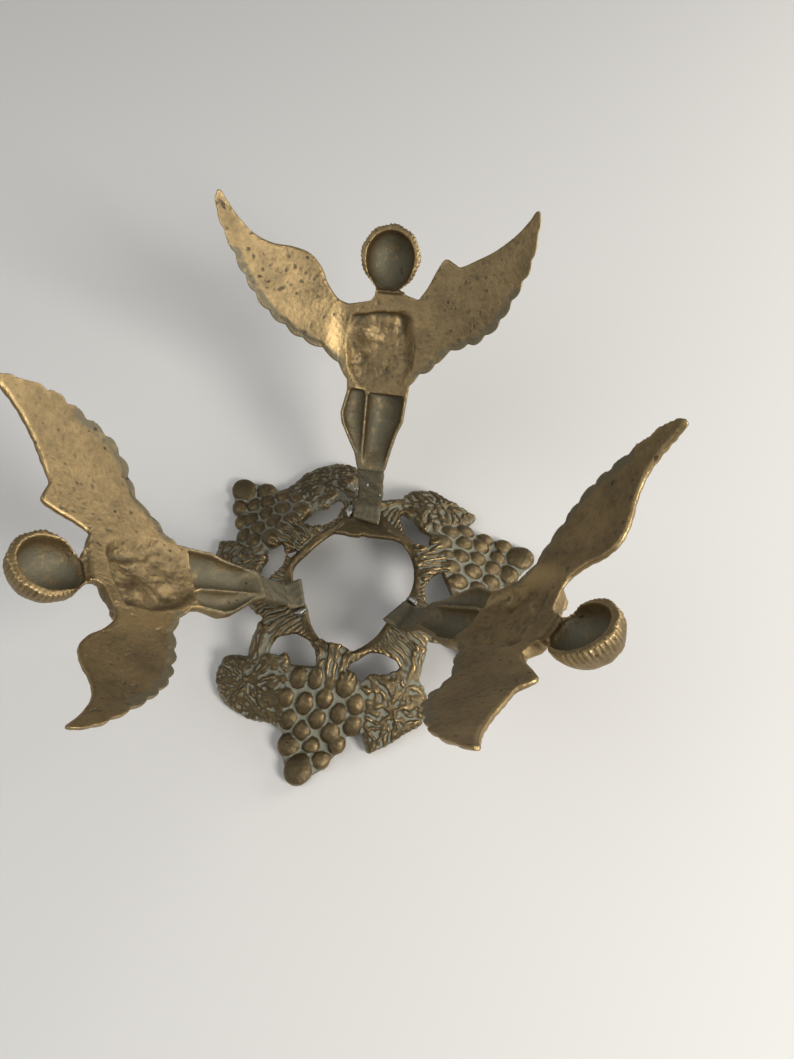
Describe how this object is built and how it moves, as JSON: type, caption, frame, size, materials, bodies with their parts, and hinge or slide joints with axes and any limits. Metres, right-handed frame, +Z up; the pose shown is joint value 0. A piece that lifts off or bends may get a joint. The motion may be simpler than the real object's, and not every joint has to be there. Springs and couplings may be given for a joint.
{
  "type": "angel candle holder",
  "caption": "Cast brass candle holder: an openwork ring of grapes and vine leaves on which winged angels lean outward round the candle.",
  "frame": {"origin": "middle of the footprint's bounding box, on the table", "axes": "+Z is up from the table. +Y points to the side of the back angel, away from the viewer. +X is to the viewer's right, so it completes a right-handed frame."},
  "size_m": [0.1744, 0.1748, 0.1109],
  "materials": {
    "wreath_brass": "antique brown brass with gold edges and pale verdigris in the hollows",
    "angel_brass": "rough cast antique brass, green-grey patina in the hollows",
    "solder": "dull silver solder"
  },
  "bodies": {
    "root": {"grape_wreath": "wreath_brass", "angel_back": "angel_brass", "angel_left": "angel_brass", "angel_right": "angel_brass", "solder_back": "solder", "solder_left": "solder", "solder_right": "solder"}
  },
  "joints": []
}
